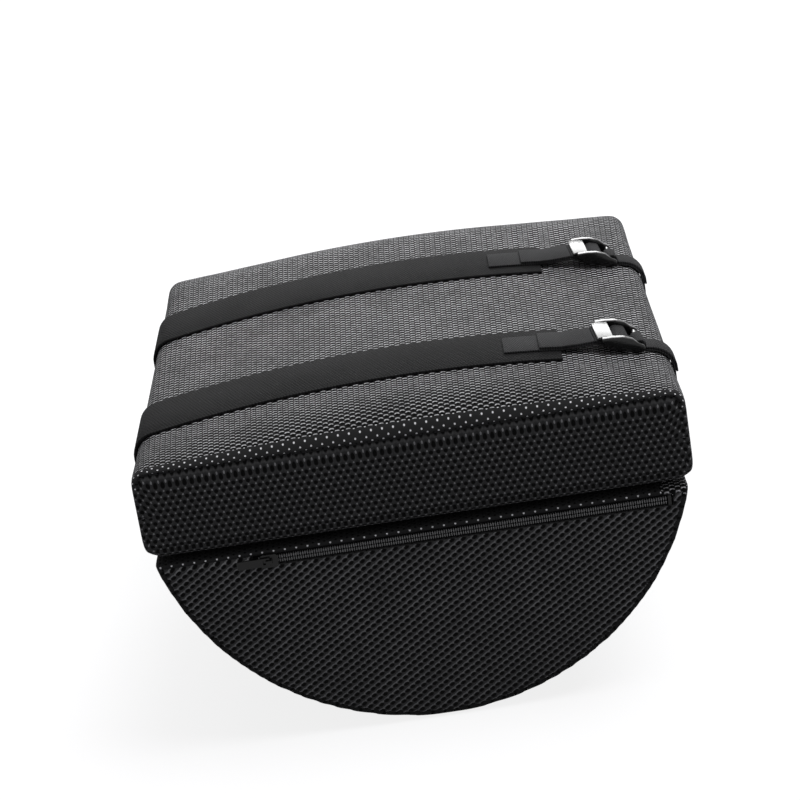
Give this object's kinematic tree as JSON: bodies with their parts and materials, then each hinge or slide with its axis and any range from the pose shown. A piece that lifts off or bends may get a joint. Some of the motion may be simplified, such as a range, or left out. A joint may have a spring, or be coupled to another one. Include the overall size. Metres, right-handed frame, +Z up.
{
  "type": "rocking foam footrest",
  "caption": "Under-desk footrest: half-round foam base in black air mesh with a zip, and a thick foam pad strapped on top with ladder-lock buckles.",
  "frame": {"origin": "on the floor under the middle of the footrest, at the middle of the base's rest strip", "axes": "+X to the toe side where the buckles are, +Y along the rocking axis away from the base's zip, +Z up"},
  "size_m": [0.3108, 0.3464, 0.1922],
  "materials": {
    "foam": "open-cell foam",
    "wrap_mesh": "air mesh",
    "end_mesh": "air mesh",
    "band": "flat woven",
    "webbing": "ribbed woven",
    "zip_tape": "flat woven",
    "zip_coil": "satin nylon",
    "zip_metal": "satin",
    "buckle": "gloss"
  },
  "bodies": {
    "base": {"base_foam_core": "foam", "base_top_panel": "wrap_mesh", "base_curved_panel": "wrap_mesh", "base_near_end_panel": "end_mesh", "base_far_end_panel": "end_mesh", "base_zip_upper_tape": "zip_tape", "base_zip_upper_coil": "zip_coil", "base_zip_lower_tape": "zip_tape", "base_zip_lower_coil": "zip_coil", "base_zip_stops": "zip_metal", "near_band": "band", "near_load_webbing": "webbing", "near_webbing_tail": "webbing", "near_toe_webbing": "webbing", "far_band": "band", "far_load_webbing": "webbing", "far_webbing_tail": "webbing", "far_toe_webbing": "webbing"},
    "base_zip_slider": {"base_zip_slider": "zip_metal"},
    "base_zip_pull": {"base_zip_pull": "zip_metal"},
    "pad": {"pad_foam_core": "foam", "pad_wrap_panel": "wrap_mesh", "pad_near_end_panel": "end_mesh", "pad_far_end_panel": "end_mesh", "pad_zip_upper_tape": "zip_tape", "pad_zip_upper_coil": "zip_coil", "pad_zip_lower_tape": "zip_tape", "pad_zip_lower_coil": "zip_coil", "pad_zip_stops": "zip_metal"},
    "pad_zip_slider": {"pad_zip_slider": "zip_metal"},
    "pad_zip_pull": {"pad_zip_pull": "zip_metal"},
    "near_buckle": {"near_buckle": "buckle", "near_threaded_webbing": "webbing"},
    "far_buckle": {"far_buckle": "buckle", "far_threaded_webbing": "webbing"}
  },
  "joints": [
    {"name": "base_zip_slide", "type": "slide", "parent": "base", "child": "base_zip_slider", "axis": [1, 0, 0], "range_m": [0, 0.215]},
    {"name": "base_zip_pull_swing", "type": "hinge", "parent": "base_zip_slider", "child": "base_zip_pull", "pos_m": [-0.086, -0.1711, 0.1111], "axis": [0, 0, 1], "range_deg": [0, 150]},
    {"name": "pad_slide_out", "type": "slide", "parent": "base", "child": "pad", "axis": [0, -1, 0], "range_m": [0, 0.36]},
    {"name": "pad_zip_slide", "type": "slide", "parent": "pad", "child": "pad_zip_slider", "axis": [1, 0, 0], "range_m": [0, 0.215]},
    {"name": "pad_zip_pull_swing", "type": "hinge", "parent": "pad_zip_slider", "child": "pad_zip_pull", "pos_m": [-0.086, 0.1721, 0.1312], "axis": [0, 0, -1], "range_deg": [0, 150]},
    {"name": "near_buckle_tilt", "type": "hinge", "parent": "base", "child": "near_buckle", "pos_m": [0.1355, -0.1, 0.18257], "axis": [0, 1, 0], "range_deg": [0, 50]},
    {"name": "far_buckle_tilt", "type": "hinge", "parent": "base", "child": "far_buckle", "pos_m": [0.1355, 0.06, 0.18257], "axis": [0, 1, 0], "range_deg": [0, 50]}
  ]
}
